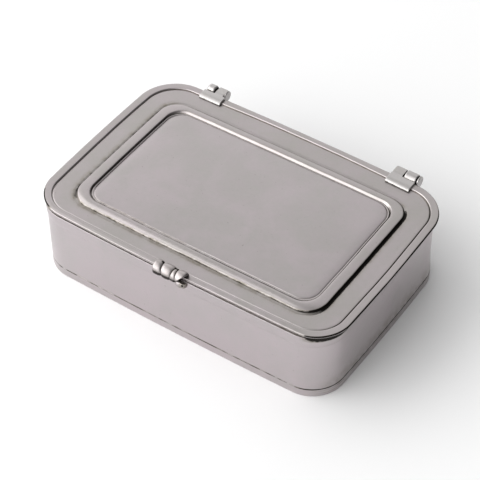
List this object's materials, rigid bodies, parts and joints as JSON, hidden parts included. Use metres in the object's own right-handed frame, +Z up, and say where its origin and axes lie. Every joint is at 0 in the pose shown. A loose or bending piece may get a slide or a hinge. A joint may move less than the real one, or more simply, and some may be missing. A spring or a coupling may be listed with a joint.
{
  "type": "rosary box",
  "caption": "Small rounded metal keepsake box with a framed hinged lid, two strap hinges at the back and a fluted thumb clasp at the front.",
  "frame": {"origin": "centre of the flat underside of the base pan", "axes": "+X along the length, -Y towards the clasp at the front, +Y towards the hinges at the back, +Z up"},
  "size_m": [0.1116, 0.0799, 0.0296],
  "materials": {
    "pewter_wall": "satin pewter, lightly brushed, soft patina in the seams",
    "pewter_lid": "satin pewter, fine random scratches, worn bright along the edges",
    "pewter_moulding": "satin pewter, polished on the crest, dark patina in the grooves",
    "pewter_panel": "satin pewter, soft grain, bare",
    "pewter_inside": "matt pewter, as cast",
    "pewter_hinge": "hand-worked pewter, half polished",
    "pewter_pin": "drawn wire, half polished",
    "pewter_clasp": "pewter polished by handling, dark in the flutes"
  },
  "bodies": {
    "box": {"base_pan": "pewter_wall", "side_wall": "pewter_wall", "wall_rim_band": "pewter_wall", "catch_bead": "pewter_clasp", "hinge_plate_left": "pewter_hinge", "hinge_plate_right": "pewter_hinge", "hinge_pin_left": "pewter_pin", "hinge_pin_right": "pewter_pin"},
    "lid": {"lid_plate": "pewter_lid", "lid_rim": "pewter_lid", "lid_frame": "pewter_moulding", "lid_panel": "pewter_panel", "lid_lip": "pewter_inside", "hinge_strap_left": "pewter_hinge", "hinge_strap_right": "pewter_hinge", "thumb_clasp": "pewter_clasp"}
  },
  "joints": [
    {"name": "lid_hinge", "type": "hinge", "parent": "box", "child": "lid", "pos_m": [0, 0.0392, 0.0269], "axis": [-1, 0, 0], "range_deg": [0, 105]}
  ]
}
